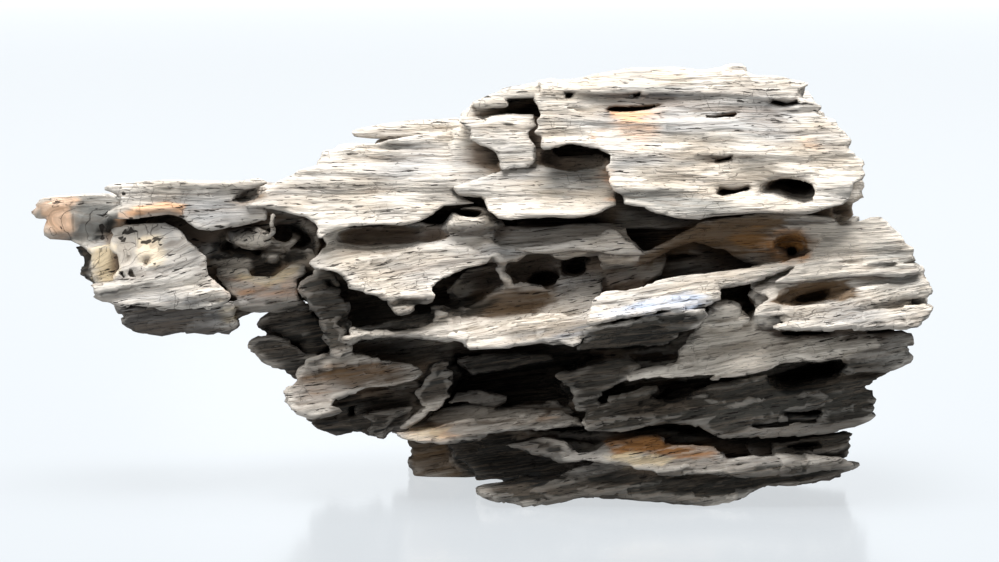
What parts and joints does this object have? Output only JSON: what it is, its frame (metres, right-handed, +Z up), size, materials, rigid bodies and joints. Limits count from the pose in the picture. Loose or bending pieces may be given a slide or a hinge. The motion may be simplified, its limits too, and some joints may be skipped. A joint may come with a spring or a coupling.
{
  "type": "honeycomb wood",
  "caption": "Weathered hollow hardwood block with a long tail, eroded along the grain into ledges and hides, resting on three low feet.",
  "frame": {"origin": "on the floor, under the middle of the block's bounding box", "axes": "+X along the grain from the tail to the broken shelves, +Y from the carved front face to the far side, +Z up"},
  "size_m": [0.4498, 0.14, 0.2126],
  "materials": {
    "weathered_wood": "matt, weathered, cracked along and across the grain"
  },
  "bodies": {
    "root": {"honeycomb_wood": "weathered_wood"}
  },
  "joints": []
}
